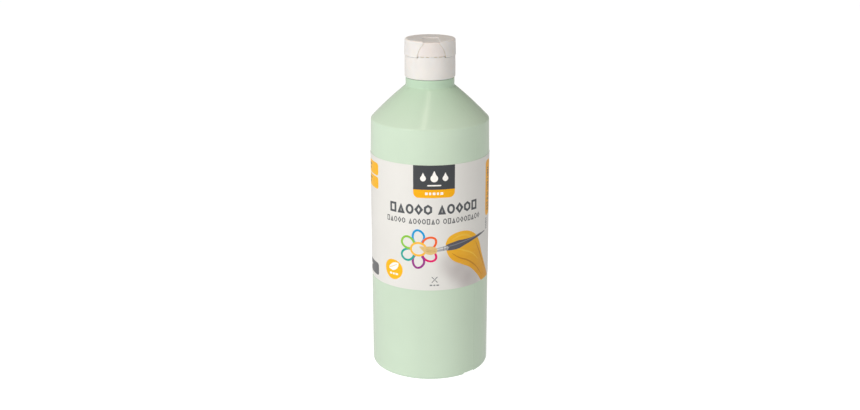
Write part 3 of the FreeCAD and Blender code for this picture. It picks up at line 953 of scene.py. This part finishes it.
def strap_gap_shade(material):
    """A tan sheet of painted shade in the gap down each side of the strap."""
    low_corner, high_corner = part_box("flip_lid")
    foot_z, radius = low_corner.z / MM, high_corner.x / MM
    draft = WALL_DRAFT / (high_corner.z / MM - foot_z)

    def wall_at(z):
        return radius - SHADE_SHEET_DEPTH - draft * (z - foot_z)

    vertices, faces = [], []
    half = GAP / 2 + SHADE_SHEET_OVERLAP
    for side in (-1, 1):
        add_shade_sheet(flank_line(), half, wall_at, SHADE_SHEET_THICK, side, vertices, faces)
    piece = plain_object("strap_gap_shade", vertices, faces, material)
    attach(piece, "lid")


def window_gap_shade(material):
    """Tan sheets of painted shade behind the windows of the film hinge."""
    low_corner, high_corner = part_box("hinge_film")
    low, high = low_corner.z / MM, high_corner.z / MM - WINDOW_TOP_GAP
    radius = -low_corner.y / MM - WINDOW_DEPTH
    middle, half = (low + high) / 2, (high - low) / 2
    vertices, faces = [], []
    for side in (-1, 1):
        for (_, start), (end, _) in zip(FILM_LANDS[2:], FILM_LANDS[3:]):
            line = [Vector((x, middle)) for x in evenly(start, end, WINDOW_STEPS)]
            add_shade_sheet(line, half, lambda z: radius, WINDOW_THICK, side, vertices, faces)
    piece = plain_object("window_gap_shade", vertices, faces, material)
    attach(piece, "cap")


def bottle_and_cap():
    """Materials for the CAD nodes, and the small parts beside them."""
    bottle_green = bottle_plastic()
    cap_white = cap_plastic("cap_white", CAP_WHITE)
    gap_shade_tan = cap_plastic("gap_shade_tan", GAP_SHADE_TAN)
    carry("bottle_shell", bottle_green)
    carry("paint", wet_paint())
    carry("sealing_washer", foam())
    carry("cap_base", cap_white)
    carry("flip_lid", cap_white)
    # The strap's warmer, pinker white is painted light, for light coming through the thin strap.
    carry("hinge_strap", cap_plastic("strap_glow_white", STRAP_GLOW_WHITE))
    mould_lines(bottle_green)
    hinge_film(cap_white)
    # Tan sheets in the strap's gaps and behind the hinge windows: painted shade.
    strap_gap_shade(gap_shade_tan)
    window_gap_shade(gap_shade_tan)


# ---------------------------------------------------------------- studio

# The studio is in metres, and its colours are linear, from 0 to 1.

# Soft boxes: azimuth, elevation, distance, width and height, power in watts, colour.
LIGHTS = {
    "key": (50, 20, 1.5, (0.8, 1.2), 11.6, (1.0, 0.985, 0.96)),
    "overhead": (30, 74, 1.3, (0.05, 0.9), 2.8, (1.0, 0.88, 0.78)),
    "shoulder": (-16, 42, 1.4, (1.3, 0.04), 3.2, (1.0, 0.97, 0.94)),
}
LIGHT_TARGET = Vector((0, 0, 0.09))
WALL_TINT = (1.0, 0.96, 0.93, 1)
CEILING_TINT = (0.9, 0.78, 0.66, 1)

# The floor shows as white and lights the bottle less than that. Its two greys are 0 to 255.
FLOOR_DARK = (160, 160, 160)
FLOOR_LIGHT = (164, 164, 164)
FLOOR_GLOW = 0.52
FLOOR_SEEN = 0.9
FLOOR_HALF = 20.0
FLOOR_DROP = 0.02 * MM

CAMERA_TURN = 3.7
CAMERA_DISTANCE = 0.64397
CAMERA_HEIGHT = 0.29367
CAMERA_DOWN = 17.14
SENSOR_WIDTH = 36.0
LENS = 48.604


def area_light(name, azimuth, elevation, distance, size, power, colour):
    """A soft box that looks at the bottle. Azimuth 0 is in front, and it grows towards -X."""
    data = bpy.data.lights.new(name, "AREA")
    data.shape = "RECTANGLE"
    data.size, data.size_y = size
    data.energy = power
    data.color = colour
    light = bpy.data.objects.new(name, data)
    turn, lift = math.radians(azimuth), math.radians(elevation)
    level = math.cos(lift)
    away = Vector((-math.sin(turn) * level, -math.cos(turn) * level, math.sin(lift)))
    light.location = LIGHT_TARGET + away * distance
    light.rotation_euler = away.to_track_quat("Z", "Y").to_euler()
    scene.collection.objects.link(light)


def room():
    """The light that the room gives from each direction, with dark cards at the rear right."""
    world = bpy.data.worlds.new("studio")
    scene.world = world
    world.use_nodes = True
    tree = world.node_tree
    direction = tree.nodes.new("ShaderNodeTexCoord").outputs["Generated"]
    parts = tree.nodes.new("ShaderNodeSeparateXYZ")
    tree.links.new(direction, parts.inputs["Vector"])

    def ramp(axis, start, end, low, high):
        node = tree.nodes.new("ShaderNodeMapRange")
        limits = {"From Min": start, "From Max": end, "To Min": low, "To Max": high}
        for key, value in limits.items():
            node.inputs[key].default_value = value
        tree.links.new(parts.outputs[axis], node.inputs["Value"])
        return node.outputs["Result"]

    def join(operation, first, second):
        node = tree.nodes.new("ShaderNodeMath")
        node.operation = operation
        tree.links.new(first, node.inputs[0])
        tree.links.new(second, node.inputs[1])
        return node.outputs["Value"]

    strength = join("MULTIPLY", ramp("Z", 0.0, 0.6, 0.76, 0.27), ramp("X", -0.4, 1.0, 1.0, 0.93))
    rear_card = join("MAXIMUM", ramp("X", 0.0, 0.35, 1.0, 0.45), ramp("Y", 0.2, 0.75, 1.0, 0.45))
    strength = join("MULTIPLY", strength, rear_card)
    seen = tree.nodes.new("ShaderNodeLightPath").outputs["Is Camera Ray"]
    strength = join("MAXIMUM", strength, seen)

    tint = tree.nodes.new("ShaderNodeMix")
    tint.data_type = "RGBA"
    tree.links.new(ramp("Z", 0.45, 0.95, 0.0, 1.0), tint.inputs["Factor"])
    tint.inputs[6].default_value = WALL_TINT
    tint.inputs[7].default_value = CEILING_TINT
    background = tree.nodes["Background"]
    tree.links.new(tint.outputs[2], background.inputs["Color"])
    tree.links.new(strength, background.inputs["Strength"])


def floor():
    """A plain pale floor that glows a little, like a light table."""
    recipe = Recipe("floor_white")
    cloud = recipe.spread(recipe.noise(3), 0, 1)
    tone = recipe.blend(cloud, srgb(*FLOOR_DARK), srgb(*FLOOR_LIGHT))
    roughness = recipe.spread(recipe.noise(8), 0.7, 0.8)
    normal = recipe.relief((recipe.noise(60), 0.1, 0.1))
    recipe.finish(tone, roughness, normal, Specular_IOR_Level=0.0, Emission_Color=(1, 1, 1, 1))
    seen = recipe.add("ShaderNodeLightPath").outputs["Is Camera Ray"]
    glow = recipe.spread(seen, FLOOR_GLOW, FLOOR_SEEN, 0, 1)
    recipe.tree.links.new(glow, recipe.shader.inputs["Emission Strength"])
    mesh = bpy.data.meshes.new("floor")
    corners = [(x * FLOOR_HALF, y * FLOOR_HALF, 0) for x, y in ((-1, -1), (1, -1), (1, 1), (-1, 1))]
    mesh.from_pydata(corners, [], [(0, 1, 2, 3)])
    mesh.materials.append(recipe.material)
    plane = bpy.data.objects.new("floor", mesh)
    plane.location.z = -FLOOR_DROP
    scene.collection.objects.link(plane)


def camera():
    """In front of the bottle, a little to its left, and looking down at it."""
    turn = math.radians(CAMERA_TURN)
    data = bpy.data.cameras.new("camera")
    data.sensor_width = SENSOR_WIDTH
    data.lens = LENS
    data.clip_start = 0.01
    view = bpy.data.objects.new("camera", data)
    away = Vector((-math.sin(turn), -math.cos(turn), 0)) * CAMERA_DISTANCE
    view.location = away + Vector((0, 0, CAMERA_HEIGHT))
    view.rotation_euler = (math.radians(90 - CAMERA_DOWN), 0, -turn)
    scene.collection.objects.link(view)
    scene.camera = view


printed_label()
bottle_and_cap()
for light_name, light_values in LIGHTS.items():
    area_light(light_name, *light_values)
room()
floor()
camera()
scene.view_settings.view_transform = "Standard"
